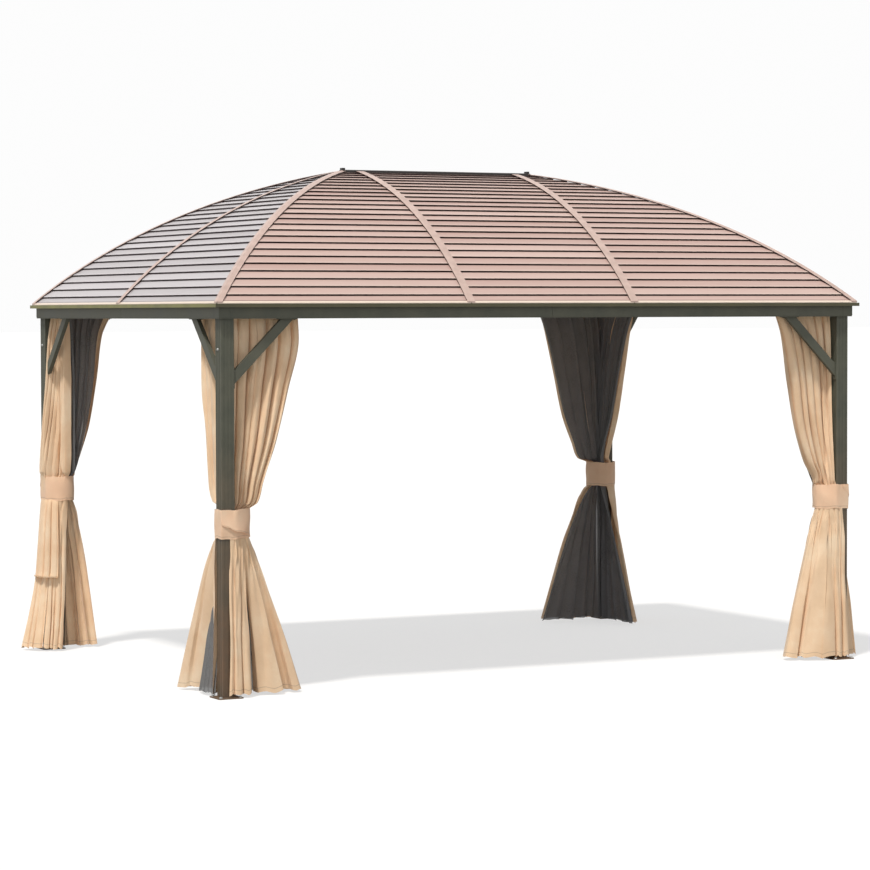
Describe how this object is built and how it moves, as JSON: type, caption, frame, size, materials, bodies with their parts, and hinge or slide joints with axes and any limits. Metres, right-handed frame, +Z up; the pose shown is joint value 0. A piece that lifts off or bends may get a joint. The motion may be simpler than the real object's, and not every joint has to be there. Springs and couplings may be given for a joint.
{
  "type": "garden gazebo",
  "caption": "Open-sided garden gazebo with a bowed hip roof of lapped metal slats on fluted posts, with tied-back curtains and netting at each corner",
  "frame": {"origin": "on the ground under the middle of the roof, the bottom centre of the bounding box", "axes": "+X along the long sides towards the right end, -Y towards the front long side, +Z up"},
  "size_m": [4.246, 3.02, 3.01],
  "materials": {
    "frame_coat": "fine textured powder coat, dark bronze grey, semi-matt",
    "gutter_coat": "powder coat, olive bronze, semi-matt",
    "slat_coat": "fine grained coated steel sheet, rose brown, satin",
    "cap_coat": "coated steel strip, rose brown, satin",
    "ridge_coat": "powder coat, near black, semi-matt",
    "rail_metal": "anodised bronze",
    "curtain_cloth": "woven polyester, khaki, plain",
    "band_cloth": "woven polyester, khaki, doubled and stitched",
    "net_mesh": "knitted netting, near black"
  },
  "bodies": {
    "root": {"beam_back": "frame_coat", "beam_front": "frame_coat", "beam_left": "frame_coat", "beam_right": "frame_coat", "braces_back_left": "frame_coat", "braces_back_right": "frame_coat", "braces_front_left": "frame_coat", "braces_front_right": "frame_coat", "curtain_back_left": "curtain_cloth", "curtain_back_right": "curtain_cloth", "curtain_front_left": "curtain_cloth", "curtain_front_right": "curtain_cloth", "curtain_rails_long": "rail_metal", "curtain_rails_short": "rail_metal", "gutter_back": "gutter_coat", "gutter_front": "gutter_coat", "gutter_left": "gutter_coat", "gutter_right": "gutter_coat", "hip_cap_back_left": "cap_coat", "hip_cap_back_right": "cap_coat", "hip_cap_front_left": "cap_coat", "hip_cap_front_right": "cap_coat", "hip_rafter_back_left": "frame_coat", "hip_rafter_back_right": "frame_coat", "hip_rafter_front_left": "frame_coat", "hip_rafter_front_right": "frame_coat", "net_back_left": "net_mesh", "net_back_right": "net_mesh", "net_front_left": "net_mesh", "net_front_right": "net_mesh", "post_back_left": "frame_coat", "post_back_right": "frame_coat", "post_front_left": "frame_coat", "post_front_right": "frame_coat", "rafter_left_end": "frame_coat", "rafter_right_end": "frame_coat", "rafters_back": "frame_coat", "rafters_front": "frame_coat", "rib_cap_left_end": "cap_coat", "rib_cap_right_end": "cap_coat", "rib_caps_back": "cap_coat", "rib_caps_front": "cap_coat", "ridge_beam": "frame_coat", "ridge_cap": "ridge_coat", "roof_slats_back_left": "slat_coat", "roof_slats_back_middle": "slat_coat", "roof_slats_back_right": "slat_coat", "roof_slats_front_left": "slat_coat", "roof_slats_front_middle": "slat_coat", "roof_slats_front_right": "slat_coat", "roof_slats_left_end_back": "slat_coat", "roof_slats_left_end_front": "slat_coat", "roof_slats_right_end_back": "slat_coat", "roof_slats_right_end_front": "slat_coat", "tie_band_back_left": "band_cloth", "tie_band_back_right": "band_cloth", "tie_band_front_left": "band_cloth", "tie_band_front_right": "band_cloth"}
  },
  "joints": []
}
